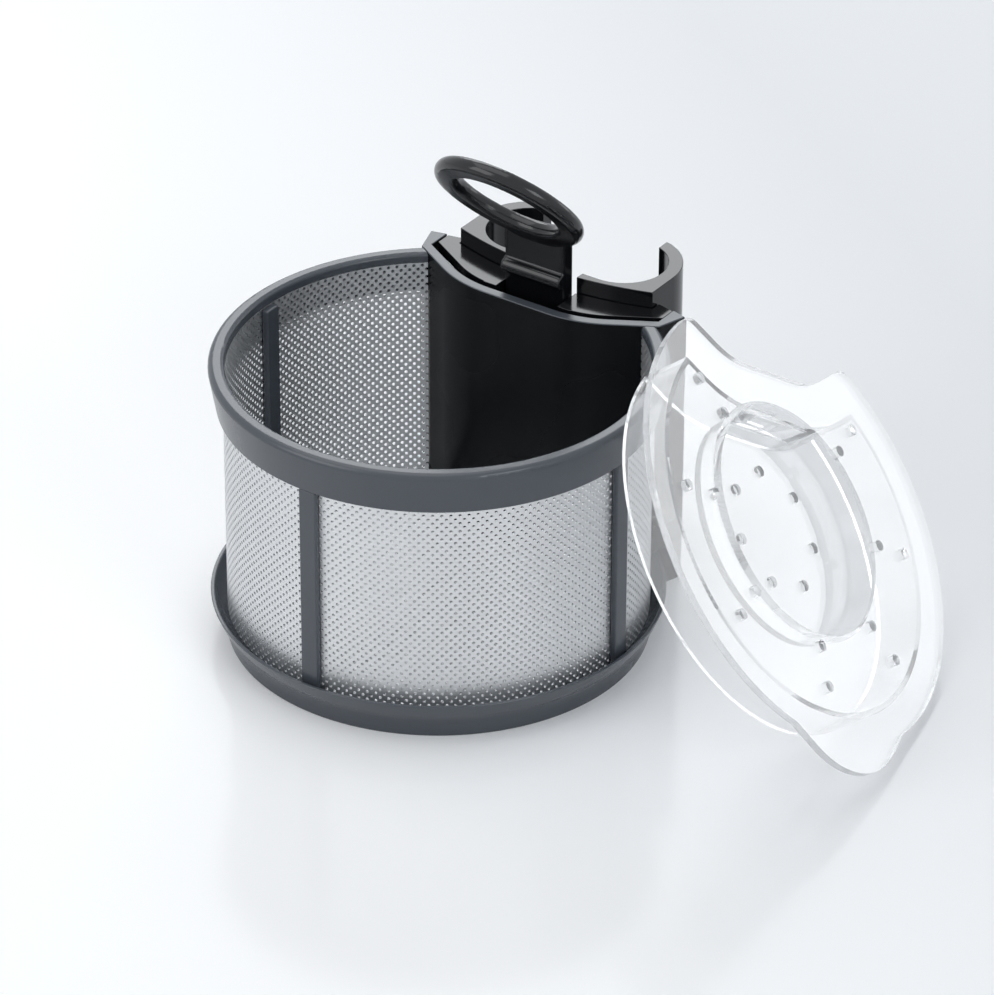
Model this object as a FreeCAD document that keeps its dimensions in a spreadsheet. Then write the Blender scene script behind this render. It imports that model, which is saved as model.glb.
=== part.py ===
import FreeCAD, Part
import math
import os
import Sketcher

# The lift-out brewing basket of an automatic tea maker, with its clear lid taken off and
# leaning on it. The frame stands on the table plane, its axis is the Z axis, the front is
# towards -Y, and the column clip and the ring handle are at the back, towards +Y.

Vector = FreeCAD.Vector
X_AXIS = Vector(1, 0, 0)
Y_AXIS = Vector(0, 1, 0)
Z_AXIS = Vector(0, 0, 1)

# Driving dimensions, in millimetres and degrees.
SIZES = {
    "mesh_radius": 43.7,        # outside of the perforated wall
    "mesh_sheet": 0.5,          # perforated steel sheet
    "mesh_grip": 0.1,           # clearance between a sheet and the frame that grips it
    "rim_top": 62.7,            # height of the frame's rim
    "rim_depth": 9.2,           # height of the rim band
    "rim_out": 2.9,             # widest point of the rim band, outside the mesh
    "rim_taper": 1.4,           # how much narrower the band's lower edge is
    "rim_round": 1.3,           # rounding of the rim's outer edge
    "rim_inner_round": 0.9,     # rounding of the rim's inner edge
    "rim_cover": 2.2,           # depth of the lip that covers the mesh's upper edge
    "foot_depth": 3.8,          # height of the foot below the flared lip
    "foot_draft": 0.3,          # the foot narrows this much towards the table
    "foot_out": 0.5,            # foot where the flared lip starts, outside the mesh
    "foot_width": 4.2,          # width of the foot's ring at the table
    "lip_out": 3.5,             # widest point of the flared lip, outside the mesh
    "lip_top": 9.0,             # height of the flared lip
    "lip_wall": 0.9,            # wall of the flared lip
    "lip_flare": 1.0,           # how far the lip's bend stands in from its top edge
    "lip_bend": 6.6,            # height where the lip turns upright
    "shelf_top": 5.8,           # shelf that the mesh wall stands on
    "shelf_inset": 0.8,         # shelf inside the mesh wall
    "floor_seat": 3.2,          # seat of the bottom mesh above the table
    "rib_width": 4.0,
    "rib_out": 1.4,             # outer bars stand this proud of the mesh
    "rib_in": 1.6,              # inner bars stand this proud of the mesh
    "rib_seat": 7.1,            # outer bars stand on the gutter at this height
    "wall_inset": 16.4,         # the rear wall's bulge, inside the mesh's circle
    "wall_flat": 8.0,           # half width of the bulge's straight middle
    "wall_bend": 25.0,          # radius of the bulge's shoulders
    "wall_turn": 30.0,          # the wall's slope beyond the shoulders
    "wall_sheet": 2.2,          # thickness of the rear wall
    "wing_inside": 28.3,        # inner face of the wings, from the middle plane
    "wing_outside": 31.8,       # outer face of the wings at their back end
    "wing_run": 15.1,           # back end of the wings, behind the bulge's face
    "wing_bevel": 0.9,          # the wings' back ends slope this much towards the middle
    "clip_behind": 10.7,        # clip's front face at its middle, behind the bulge's face
    "clip_bow": 4.0,            # how far the front face bulges
    "clip_half": 24.0,          # half width of the clip
    "clip_wall": 2.5,           # front wall between its face and the column, at the middle
    "arm_wall": 3.0,            # thickness of the side walls and arms
    "column_half": 9.3,         # half depth of the column's oblong section
    "arm_reach": 14.5,          # arm tips, from the middle plane
    "clip_foot": 3.6,           # clip's lower end above the table
    "clip_top": 66.0,
    "ledge_top": 62.4,          # ledge between the rear wall and the clip
    "ledge_sheet": 2.4,
    "ledge_groove": 1.9,        # groove between the rear wall and the ledge
    "seat_gap": 0.2,            # clearance between fixed pieces of the frame
    "stem_width": 14.6,
    "stem_behind": 6.7,         # front face of the handle's stem, behind the bulge's face
    "stem_sheet": 3.6,
    "stem_top": 75.0,
    "nose_height": 66.6,        # latch nose that holds the lid's rear tab
    "nose_reach": 1.7,
    "swing_gap": 0.35,          # clearance round the moving handle
    "pivot_height": 54.2,       # hinge pin of the handle
    "barrel_radius": 2.6,
    "pin_radius": 1.0,
    "pin_fit": 0.06,            # running clearance of the pin in the stem's barrel
    "pin_length": 20.6,
    "ring_lean": 49.5,          # ring plane above the horizontal, in degrees
    "ring_radius": 14.0,        # centre line of the finger ring
    "ring_wide": 2.7,           # half width of the ring's section in its plane
    "ring_thick": 1.65,         # half thickness of the ring's section
    "spring_wire": 0.3,         # radius of the spring's wire
    "spring_turns": 4.0,
    "magnet_width": 12.0,
    "magnet_depth": 3.0,
    "magnet_height": 16.0,
    "magnet_roof": 3.6,         # wall between the upper magnet and the handle's well
    "magnet_space": 3.0,        # from one magnet to the next
    "holder_wall": 1.6,
    "hub_radius": 6.0,
    "spoke_width": 3.0,
    "spoke_lift": 0.8,          # spokes stay this clear of the table
    "lid_over": 0.6,            # lid's edge outside the rim's edge
    "lid_sheet": 1.6,
    "lid_setback": 5.5,         # lid's rear edge behind the rear wall's inner face
    "skirt_gap": 0.45,          # running gap of the skirt inside the inner bars
    "skirt_depth": 12.0,
    "skirt_wall": 1.2,
    "skirt_setback": 3.5,       # skirt's rear wall in front of the rear wall's inner face
    "well_radius": 24.8,        # sunken well in the lid's middle, at its mouth
    "well_depth": 6.4,
    "well_draft": 1.2,          # the well narrows this much towards its floor
    "well_crown": 0.6,          # the well's floor rises this much in the middle
    "well_wall": 1.0,
    "lid_hole": 1.2,            # radius of the drain holes
    "outer_holes": 35.9,        # circles that the drain holes lie on
    "inner_holes": 27.2,
    "well_holes": 12.7,
    "well_turn": 97.0,          # direction of the first hole in the well, in degrees
    "hole_shift": -0.7,         # centre of the well and the hole circles, from the axis
    "tab_reach": 53.0,          # front tab's outer edge, from the lid's axis
    "tab_round": 20.0,          # radius of the tab's end
    "tab_side": -84.0,          # direction of the tab, in degrees
    "tab_spread": 30.0,         # where the tab's sides leave the lid's edge, to either side
    "tab_curl": 45.0,           # where they meet its round end
    "catch_width": 8.0,         # catch on the skirt's rear wall, for the latch nose
    "catch_reach": 2.6,
    "catch_low": 7.0,           # catch's lower edge under the lid's face
    "catch_height": 3.4,
    "lean": 54.0,               # the lid's slope against the table, in degrees
    "lean_turn": 13.5,          # direction that it leans from, in degrees
    "lean_spin": 43.1,          # turn of the lid's rear edge in its own plane
    "lean_shift": 1.1,          # sideways shift of the leaning lid
    "lean_gap": 0.3,            # clearance between the lid and the rim
}
SPOKES = 5

doc = FreeCAD.newDocument("TeaBasket")
sheet = doc.addObject("Spreadsheet::Sheet", "Sizes")


class Size:
    """A number with the spreadsheet expression that gives it."""

    def __init__(self, number, text):
        self.number = float(number)
        self.text = text

    def __add__(self, other):
        other = as_size(other)
        return Size(self.number + other.number, f"({self.text} + {other.text})")

    def __radd__(self, other):
        return as_size(other) + self

    def __sub__(self, other):
        other = as_size(other)
        return Size(self.number - other.number, f"({self.text} - {other.text})")

    def __rsub__(self, other):
        return as_size(other) - self

    def __mul__(self, other):
        other = as_size(other)
        return Size(self.number * other.number, f"({self.text} * {other.text})")

    def __rmul__(self, other):
        return as_size(other) * self

    def __truediv__(self, other):
        other = as_size(other)
        return Size(self.number / other.number, f"({self.text} / {other.text})")

    def __neg__(self):
        return Size(-self.number, f"(0 - {self.text})")


def as_size(value):
    return value if isinstance(value, Size) else Size(value, repr(float(value)))


def sine(angle):
    return Size(math.sin(math.radians(angle.number)), f"sin({angle.text})")


def cosine(angle):
    return Size(math.cos(math.radians(angle.number)), f"cos({angle.text})")


def root(value):
    return Size(math.sqrt(value.number), f"sqrt({value.text})")


row = {}
for line, (alias, number) in enumerate(SIZES.items(), start=1):
    sheet.set(f"A{line}", alias)
    sheet.set(f"B{line}", str(number))
    sheet.setAlias(f"B{line}", alias)
    row[alias] = Size(number, f"Sizes.{alias}")
doc.recompute()


def bind(item, **sizes):
    """Ties properties of an object to the sheet."""
    for name, value in sizes.items():
        item.setExpression(name, as_size(value).text)


def place(item, x=0, y=0, z=0, turn=None, axis=Z_AXIS):
    """Puts an object at a bound place, turned by a bound angle about an axis."""
    angle = as_size(turn or 0)
    item.Placement = FreeCAD.Placement(Vector(0, 0, 0), FreeCAD.Rotation(axis, angle.number or 90))
    item.setExpression("Placement.Rotation.Angle", angle.text)
    for name, value in (("x", x), ("y", y), ("z", z)):
        item.setExpression(f"Placement.Base.{name}", as_size(value).text)
    return item


def box(name, low, size):
    item = doc.addObject("Part::Box", name)
    bind(item, Length=size[0], Width=size[1], Height=size[2])
    return place(item, *low)


def cylinder(name, radius, length, at=(0, 0, 0), turn=None, axis=Z_AXIS):
    item = doc.addObject("Part::Cylinder", name)
    bind(item, Radius=radius, Height=length)
    return place(item, *at, turn=turn, axis=axis)


def cut(name, base, tool):
    item = doc.addObject("Part::Cut", name)
    item.Base = base
    item.Tool = tool
    return item


def common(name, base, tool):
    item = doc.addObject("Part::Common", name)
    item.Base = base
    item.Tool = tool
    return item


def fuse(name, pieces):
    item = doc.addObject("Part::MultiFuse", name)
    item.Shapes = pieces
    return item


def plane_of(body, role):
    return next(plane for plane in body.Origin.OriginFeatures if plane.Role == role)


def arc_through(start, end, radius, turn):
    """A circle arc from start to end, turning left or right, the short or the long way."""
    chord = end - start
    middle = (start + end) * 0.5
    left = Vector(-chord.y, chord.x, 0).normalize()
    rise = math.sqrt(max(radius * radius - chord.Length ** 2 / 4, 0))
    side = 1 if turn in ("left", "right_long") else -1
    centre = middle + left * rise * side
    first, last = (start, end) if turn.startswith("left") else (end, start)
    circle = Part.Circle(centre, Z_AXIS, radius)
    return Part.ArcOfCircle(circle, circle.parameter(first), circle.parameter(last))


def outline(body, name, role, corners, lift=0):
    """A closed sketch outline. A corner is (x, y), or (x, y, radius, turn) at an arc's end."""
    sketch = body.newObject("Sketcher::SketchObject", name)
    sketch.AttachmentSupport = [(plane_of(body, role), "")]
    sketch.MapMode = "FlatFace"
    sketch.setExpression("AttachmentOffset.Base.z", as_size(lift).text)
    points = [Vector(as_size(corner[0]).number, as_size(corner[1]).number, 0) for corner in corners]
    ends = []
    for index, corner in enumerate(corners):
        start, end = points[index - 1], points[index]
        if len(corner) == 2:
            edge = sketch.addGeometry(Part.LineSegment(start, end), False)
            ends.append((edge, 1, 2))
            continue
        radius, turn = as_size(corner[2]), corner[3]
        edge = sketch.addGeometry(arc_through(start, end, radius.number, turn), False)
        ends.append((edge, 1, 2) if turn.startswith("left") else (edge, 2, 1))
        size = sketch.addConstraint(Sketcher.Constraint("Radius", edge, radius.number))
        sketch.setExpression(f"Constraints[{size}]", radius.text)
    for index, corner in enumerate(corners):
        edge, _, tail = ends[index]
        following, head, _ = ends[(index + 1) % len(ends)]
        sketch.addConstraint(Sketcher.Constraint("Coincident", edge, tail, following, head))
        for kind, value in (("DistanceX", corner[0]), ("DistanceY", corner[1])):
            value = as_size(value)
            size = sketch.addConstraint(Sketcher.Constraint(kind, -1, 1, edge, tail, value.number))
            sketch.setExpression(f"Constraints[{size}]", value.text)
    return sketch


def circles(body, name, role, spots, radius, lift=0):
    """A sketch of equal circles at the given spots."""
    sketch = body.newObject("Sketcher::SketchObject", name)
    sketch.AttachmentSupport = [(plane_of(body, role), "")]
    sketch.MapMode = "FlatFace"
    sketch.setExpression("AttachmentOffset.Base.z", as_size(lift).text)
    for x, y in spots:
        centre = Vector(as_size(x).number, as_size(y).number, 0)
        edge = sketch.addGeometry(Part.Circle(centre, Z_AXIS, radius.number), False)
        for kind, value in (("DistanceX", x), ("DistanceY", y)):
            value = as_size(value)
            size = sketch.addConstraint(Sketcher.Constraint(kind, -1, 1, edge, 3, value.number))
            sketch.setExpression(f"Constraints[{size}]", value.text)
        size = sketch.addConstraint(Sketcher.Constraint("Radius", edge, radius.number))
        sketch.setExpression(f"Constraints[{size}]", radius.text)
    return sketch


def new_body(label):
    body = doc.addObject("PartDesign::Body", label)
    body.Label = label
    return body


def pad(body, name, sketch, length):
    feature = body.newObject("PartDesign::Pad", name)
    feature.Profile = sketch
    bind(feature, Length=length)
    return feature


def pocket(body, name, sketch, depth, upward=False):
    feature = body.newObject("PartDesign::Pocket", name)
    feature.Profile = sketch
    feature.Reversed = upward
    bind(feature, Length=depth)
    return feature


def revolve(body, name, sketch):
    feature = body.newObject("PartDesign::Revolution", name)
    feature.Profile = sketch
    feature.ReferenceAxis = (sketch, ["V_Axis"])
    return feature


wall_front = row["mesh_radius"] - row["wall_inset"]
clip_front = wall_front + row["clip_behind"]
stem_front = wall_front + row["stem_behind"]

# Plan of the rear wall. Its inner face runs straight across the bulge, bends back round both
# shoulders and slopes to the rear corners. Every piece that follows the wall takes the same
# path, set back from it by its own distance.
wall_sin = sine(row["wall_turn"])
wall_cos = cosine(row["wall_turn"])
shoulder_x = row["wall_flat"] + row["wall_bend"] * wall_sin
shoulder_y = wall_front + row["wall_bend"] * (1 - wall_cos)


def wall_line(setback):
    """The flat's end and the shoulder's end on the wall's path, set back towards +Y."""
    bend = row["wall_bend"] - setback
    flat = (row["wall_flat"], wall_front + setback)
    bend_centre = shoulder_y + row["wall_bend"] * wall_cos
    shoulder = (row["wall_flat"] + bend * wall_sin, bend_centre - bend * wall_cos)
    return bend, flat, shoulder


def slope_meets_circle(setback, radius):
    """Where the set back slope reaches a circle about the basket's axis."""
    _, _, (x, y) = wall_line(setback)
    along = x * wall_cos + y * wall_sin
    run = root(along * along - x * x - y * y + radius * radius) - along
    return x + run * wall_cos, y + run * wall_sin


def slope_meets_side(setback, side):
    """Where the set back slope reaches a distance from the middle plane."""
    _, _, (x, y) = wall_line(setback)
    return side, y + (side - x) * wall_sin / wall_cos


def d_outline(radius, setback):
    """A disc with the wall's path cut out of its back."""
    bend, flat, shoulder = wall_line(setback)
    tip_x, tip_y = slope_meets_circle(setback, radius)
    return [
        (shoulder[0], shoulder[1]),
        (flat[0], flat[1], bend, "right"),
        (-flat[0], flat[1]),
        (-shoulder[0], shoulder[1], bend, "right"),
        (-tip_x, tip_y),
        (tip_x, tip_y, radius, "left_long"),
    ]


rim_radius = row["mesh_radius"] + row["rim_out"]
foot_radius = row["mesh_radius"] + row["foot_out"]
lip_radius = row["mesh_radius"] + row["lip_out"]

# The frame's arcs and sheets end at the rear wall: this block fills the space behind its face.
corner_x, corner_y = slope_meets_circle(0, rim_radius)
limit_radius = lip_radius * 1.2
limit_side, limit_edge = slope_meets_circle(-row["seat_gap"], limit_radius)
bend_limit, flat_limit, shoulder_limit = wall_line(-row["seat_gap"])
rear_limit = new_body("rear_limit")
rear_plan = outline(rear_limit, "rear_plan", "XY_Plane", [
    (flat_limit[0], flat_limit[1]),
    (shoulder_limit[0], shoulder_limit[1], bend_limit, "left"),
    (limit_side, limit_edge),
    (limit_side, limit_radius),
    (-limit_side, limit_radius),
    (-limit_side, limit_edge),
    (-shoulder_limit[0], shoulder_limit[1]),
    (-flat_limit[0], flat_limit[1], bend_limit, "left"),
])
pad(rear_limit, "rear_block", rear_plan, row["clip_top"])


def frame_ring(label, profile):
    """A moulded ring of the frame, cut off at the back where the rear wall closes it."""
    body = new_body(label + "_hoop")
    sketch = outline(body, label + "_profile", "XZ_Plane", profile)
    revolve(body, label + "_sweep", sketch)
    return cut(label, body, rear_limit)


# Rim band: a moulded hoop with a rounded top and a lip over the mesh's upper edge.
mesh_inner = row["mesh_radius"] - row["mesh_sheet"]
rim_bore = row["mesh_radius"] + row["mesh_grip"]
rim_low = row["rim_top"] - row["rim_depth"]
mesh_top = row["rim_top"] - row["rim_cover"]
frame_ring("rim_band", [
    (rim_bore, rim_low),
    (rim_radius - row["rim_taper"], rim_low),
    (rim_radius, row["rim_top"] - row["rim_round"]),
    (rim_radius - row["rim_round"], row["rim_top"], row["rim_round"], "left"),
    (mesh_inner + row["rim_inner_round"], row["rim_top"]),
    (mesh_inner, row["rim_top"] - row["rim_inner_round"], row["rim_inner_round"], "left"),
    (mesh_inner, mesh_top + row["mesh_grip"]),
    (rim_bore, mesh_top + row["mesh_grip"]),
])

# Base ring: the foot, the shelf that the mesh stands on, and the thin flared lip round it.
foot_inner = foot_radius - row["foot_draft"] - row["foot_width"]
shelf_inner = mesh_inner - row["shelf_inset"]
lip_bend_radius = lip_radius - row["lip_flare"]
frame_ring("base_ring", [
    (foot_inner, 0),
    (foot_radius - row["foot_draft"], 0),
    (foot_radius, row["foot_depth"]),
    (lip_bend_radius, row["lip_bend"]),
    (lip_radius, row["lip_top"]),
    (lip_radius - row["lip_wall"], row["lip_top"]),
    (lip_bend_radius - row["lip_wall"], row["rib_seat"] - row["mesh_grip"]),
    (row["mesh_radius"] + row["mesh_grip"], row["shelf_top"]),
    (shelf_inner, row["shelf_top"]),
    (shelf_inner, row["floor_seat"]),
    (foot_inner, row["floor_seat"]),
])

# Perforated side wall: one strip of thin steel, rolled round from corner to corner.
strip_low = row["shelf_top"] + row["mesh_grip"]
strip_outside = cylinder("strip_outside", row["mesh_radius"], mesh_top - strip_low, (0, 0, strip_low))
strip_inside = cylinder("strip_inside", mesh_inner, row["rim_top"])
cut("side_mesh", cut("strip_hoop", strip_outside, strip_inside), rear_limit)

# Upright ribs: an outer and an inner bar that hold the mesh between them.
bar_out = row["mesh_radius"] + row["mesh_grip"]
bar_in = mesh_inner - row["mesh_grip"]
bar_face = bar_in - row["rib_in"]
bar_left = -row["rib_width"] / 2
bar_low = row["shelf_top"] + row["mesh_grip"]
for label, side in (("front_rib", 0), ("right_rib", 90), ("left_rib", -90)):
    outer = box(label + "_outer", (bar_left, -bar_out - row["rib_out"], row["rib_seat"]),
                (row["rib_width"], row["rib_out"], rim_low - row["rib_seat"] - row["mesh_grip"]))
    outer_seat = cylinder(label + "_outer_seat", bar_out, row["rim_top"])
    inner = box(label + "_inner", (bar_left, -bar_in, bar_low),
                (row["rib_width"], row["rib_in"], mesh_top - bar_low - row["mesh_grip"]))
    inner_side = cylinder(label + "_inner_side", bar_in, row["rim_top"])
    bars = fuse(label, [cut(label + "_outer_bar", outer, outer_seat),
                        common(label + "_inner_bar", inner, inner_side)])
    place(bars, turn=as_size(side))

# Rear wall: the dark upright plate that closes the basket against the column, with the
# wings that run back from its corners.
thick = row["wall_sheet"]
bend_front, flat_front, shoulder_front = wall_line(0)
bend_back, flat_back, shoulder_back = wall_line(thick)
rear_wall = new_body("rear_wall")
wing_back = wall_front + row["wing_run"]
wing_tip_y = wing_back + row["wing_bevel"]
wing_root = slope_meets_side(thick, row["wing_inside"])
wall_sketch = outline(rear_wall, "wall_plan", "XY_Plane", [
    (flat_front[0], flat_front[1]),
    (shoulder_front[0], shoulder_front[1], bend_front, "left"),
    (corner_x, corner_y),
    (row["wing_outside"], wing_back),
    (row["wing_inside"], wing_tip_y),
    wing_root,
    shoulder_back,
    (flat_back[0], flat_back[1], bend_back, "right"),
    (-flat_back[0], flat_back[1]),
    (-shoulder_back[0], shoulder_back[1], bend_back, "right"),
    (-wing_root[0], wing_root[1]),
    (-row["wing_inside"], wing_tip_y),
    (-row["wing_outside"], wing_back),
    (-corner_x, corner_y),
    (-shoulder_front[0], shoulder_front[1]),
    (-flat_front[0], flat_front[1], bend_front, "left"),
])
pad(rear_wall, "wall_height", wall_sketch, row["rim_top"])

# Bottom mesh: a perforated disc with the wall's path cut out, lying on its seat.
bottom_mesh = new_body("bottom_mesh")
disc_plan = outline(bottom_mesh, "disc_plan", "XY_Plane",
                    d_outline(shelf_inner - row["mesh_grip"], -row["seat_gap"]), row["floor_seat"])
pad(bottom_mesh, "disc_sheet", disc_plan, row["mesh_sheet"])

# Bottom cross: a hub and five spokes under the bottom mesh, between the foot and the wall.
cross_top = row["floor_seat"] - row["mesh_grip"]
spokes = [cylinder("hub", row["hub_radius"], cross_top)]
for index in range(SPOKES):
    heading = as_size(360 / SPOKES * index - 90)
    spoke = box(f"spoke_{index}", (0, 0, 0),
                (foot_radius, row["spoke_width"], cross_top - row["spoke_lift"]))
    spokes.append(place(spoke, row["spoke_width"] / 2 * sine(heading),
                        -row["spoke_width"] / 2 * cosine(heading), row["spoke_lift"], heading))
cross_limit = new_body("cross_limit")
limit_plan = outline(cross_limit, "limit_plan", "XY_Plane",
                     d_outline(foot_inner - row["seat_gap"], -row["seat_gap"]))
pad(cross_limit, "limit_height", limit_plan, row["foot_depth"])
common("bottom_cross", fuse("cross_arms", spokes), cross_limit)

# Column clip: a tall open channel that slides on the tea maker's oblong column. Its front
# face is bowed like the rear wall, and its two arms curl round behind the column.
column_round = row["column_half"] + row["arm_wall"]
lobe_x = row["clip_half"] - column_round
column_front = clip_front + row["clip_wall"]
column_centre = column_front + row["column_half"]
tip_run = row["arm_reach"] - lobe_x
tip_inner = column_centre + root(row["column_half"] * row["column_half"] - tip_run * tip_run)
tip_outer = column_centre + root(column_round * column_round - tip_run * tip_run)
clip_corner = clip_front + row["clip_bow"]
bow_radius = (row["clip_half"] * row["clip_half"] + row["clip_bow"] * row["clip_bow"]) / (row["clip_bow"] * 2)
inner_side = row["clip_half"] - row["arm_wall"]
column_clip = new_body("column_clip")
clip_plan = outline(column_clip, "clip_plan", "XY_Plane", [
    (row["arm_reach"], tip_inner),
    (inner_side, column_centre, row["column_half"], "right"),
    (lobe_x, column_front, row["column_half"], "right"),
    (-lobe_x, column_front),
    (-inner_side, column_centre, row["column_half"], "right"),
    (-row["arm_reach"], tip_inner, row["column_half"], "right"),
    (-row["arm_reach"], tip_outer),
    (-row["clip_half"], column_centre, column_round, "left"),
    (-row["clip_half"], clip_corner),
    (row["clip_half"], clip_corner, bow_radius, "left"),
    (row["clip_half"], column_centre),
    (row["arm_reach"], tip_outer, column_round, "left"),
], row["clip_foot"])
pad(column_clip, "clip_height", clip_plan, row["clip_top"] - row["clip_foot"])

# The stem's slot through the clip's front wall, so that the handle can swing back.
slot_half = row["stem_width"] / 2 + row["swing_gap"]
slot_low = row["pivot_height"] - row["barrel_radius"] - row["swing_gap"] * 3
slot_plan = outline(column_clip, "slot_plan", "XY_Plane", [
    (-slot_half, clip_front - row["clip_wall"]),
    (slot_half, clip_front - row["clip_wall"]),
    (slot_half, column_front + row["clip_wall"]),
    (-slot_half, column_front + row["clip_wall"]),
], row["clip_top"])
pocket(column_clip, "slot", slot_plan, row["clip_top"] - slot_low)

# Rear core: the moulding between the rear wall and the clip. Its ledge shows from above,
# two ears under the ledge hold the handle's pin, and its back has the magnets' pockets.
ledge_setback = thick + row["ledge_groove"]


def behind_wall(front_setback):
    """The plan between the wall's path, the wings and the clip."""
    bend, flat, shoulder = wall_line(front_setback)
    side = slope_meets_side(front_setback, row["wing_inside"] - row["seat_gap"])
    clip_side = row["clip_half"] + row["seat_gap"]
    return [
        (flat[0], flat[1]),
        (shoulder[0], shoulder[1], bend, "left"),
        side,
        (side[0], wing_tip_y),
        (clip_side, wing_tip_y + row["wing_bevel"]),
        (clip_side, clip_corner - row["seat_gap"]),
        (-clip_side, clip_corner - row["seat_gap"], bow_radius, "right"),
        (-clip_side, wing_tip_y + row["wing_bevel"]),
        (-side[0], wing_tip_y),
        (-side[0], side[1]),
        (-shoulder[0], shoulder[1]),
        (-flat[0], flat[1], bend, "left"),
    ]


core_half = slot_half + row["holder_wall"] * 2
core_front = wall_front + thick + row["seat_gap"] * 2
core_back = clip_front - row["seat_gap"]
core_low = row["foot_depth"]
rear_core = new_body("rear_core")
ledge_plan = outline(rear_core, "ledge_plan", "XY_Plane", behind_wall(ledge_setback),
                     row["ledge_top"] - row["ledge_sheet"])
pad(rear_core, "ledge", ledge_plan, row["ledge_sheet"])
block_plan = outline(rear_core, "block_plan", "XY_Plane", [
    (-core_half, core_front), (core_half, core_front), (core_half, core_back), (-core_half, core_back),
], core_low)
pad(rear_core, "block", block_plan, row["ledge_top"] - core_low)
well_plan = outline(rear_core, "well_plan", "XY_Plane", [
    (-slot_half, core_front - 1), (slot_half, core_front - 1),
    (slot_half, core_back + 1), (-slot_half, core_back + 1),
], row["ledge_top"])
pocket(rear_core, "handle_well", well_plan, row["ledge_top"] - slot_low)
groove_plan = outline(rear_core, "groove_plan", "XY_Plane", [
    (-core_half - 1, core_front - 1), (core_half + 1, core_front - 1),
    (core_half + 1, wall_front + ledge_setback), (-core_half - 1, wall_front + ledge_setback),
], row["ledge_top"])
pocket(rear_core, "ledge_groove", groove_plan, row["ledge_sheet"])
pin_y = stem_front + row["stem_sheet"] / 2
pin_hole = circles(rear_core, "pin_hole_plan", "YZ_Plane", [(pin_y, row["pivot_height"])],
                   row["pin_radius"] + row["pin_fit"], -core_half - 1)
pocket(rear_core, "pin_hole", pin_hole, core_half * 2 + 2, upward=True)
magnet_half = row["magnet_width"] / 2 + row["seat_gap"]
pocket_front = core_back - row["magnet_depth"] - row["seat_gap"]
magnet_pitch = row["magnet_height"] + row["magnet_space"]
magnet_low = slot_low - row["magnet_roof"] - magnet_pitch - row["magnet_height"]
for index in range(2):
    low = magnet_low + magnet_pitch * index - row["seat_gap"]
    plan = outline(rear_core, f"magnet_pocket_plan_{index}", "XY_Plane", [
        (-magnet_half, pocket_front), (magnet_half, pocket_front),
        (magnet_half, core_back + 1), (-magnet_half, core_back + 1),
    ], low)
    pocket(rear_core, f"magnet_pocket_{index}", plan, row["magnet_height"] + row["seat_gap"] * 2, upward=True)

# Magnets: two blocks that couple the basket to the carriage inside the column.
magnets = [box(f"magnet_{index}",
               (-row["magnet_width"] / 2, core_back - row["magnet_depth"], magnet_low + magnet_pitch * index),
               (row["magnet_width"], row["magnet_depth"], row["magnet_height"])) for index in range(2)]
fuse("magnets", magnets)

# Rear foot: the plate that closes the housing below, between the wall, the wings and the clip.
rear_foot = new_body("rear_foot")
foot_plan = outline(rear_foot, "foot_plan", "XY_Plane", behind_wall(thick + row["seat_gap"]))
pad(rear_foot, "foot_sheet", foot_plan, row["clip_foot"] - row["seat_gap"])

# Handle: an upright stem with a latch nose across its front and a barrel at its foot.
stem_back = stem_front + row["stem_sheet"]
nose_tip = stem_front - row["nose_reach"]
stem = new_body("stem")
stem_plan = outline(stem, "stem_side", "YZ_Plane", [
    (stem_back, row["pivot_height"]),
    (stem_back, row["stem_top"]),
    (stem_back - row["stem_sheet"] / 3, row["stem_top"] + row["nose_reach"]),
    (stem_front, row["stem_top"] + row["nose_reach"]),
    (stem_front, row["nose_height"] + row["nose_reach"]),
    (nose_tip, row["nose_height"], row["nose_reach"], "left"),
    (nose_tip, row["nose_height"] - row["nose_reach"] / 2),
    (stem_front, row["nose_height"] - row["nose_reach"]),
    (stem_front, row["pivot_height"]),
])
stem_pad = pad(stem, "stem_plate", stem_plan, row["stem_width"])
stem_pad.Midplane = True
barrel_plan = circles(stem, "barrel_plan", "YZ_Plane", [(pin_y, row["pivot_height"])], row["barrel_radius"])
barrel = pad(stem, "barrel", barrel_plan, row["stem_width"])
barrel.Midplane = True
bore_plan = circles(stem, "bore_plan", "YZ_Plane", [(pin_y, row["pivot_height"])],
                    row["pin_radius"] + row["pin_fit"])
bore = pocket(stem, "pin_bore", bore_plan, row["stem_width"] + 2)
bore.Midplane = True
spring_half = row["spring_wire"] * 2 * row["spring_turns"] * 1.1
gap_low = row["pivot_height"] - row["barrel_radius"] - 1
gap_plan = outline(stem, "spring_gap_plan", "YZ_Plane", [
    (stem_front - row["barrel_radius"], gap_low),
    (stem_back + row["barrel_radius"], gap_low),
    (stem_back + row["barrel_radius"], row["pivot_height"] + row["barrel_radius"]),
    (stem_front - row["barrel_radius"], row["pivot_height"] + row["barrel_radius"]),
])
spring_gap = pocket(stem, "spring_gap", gap_plan, spring_half * 2 + row["swing_gap"] * 2)
spring_gap.Midplane = True

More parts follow.
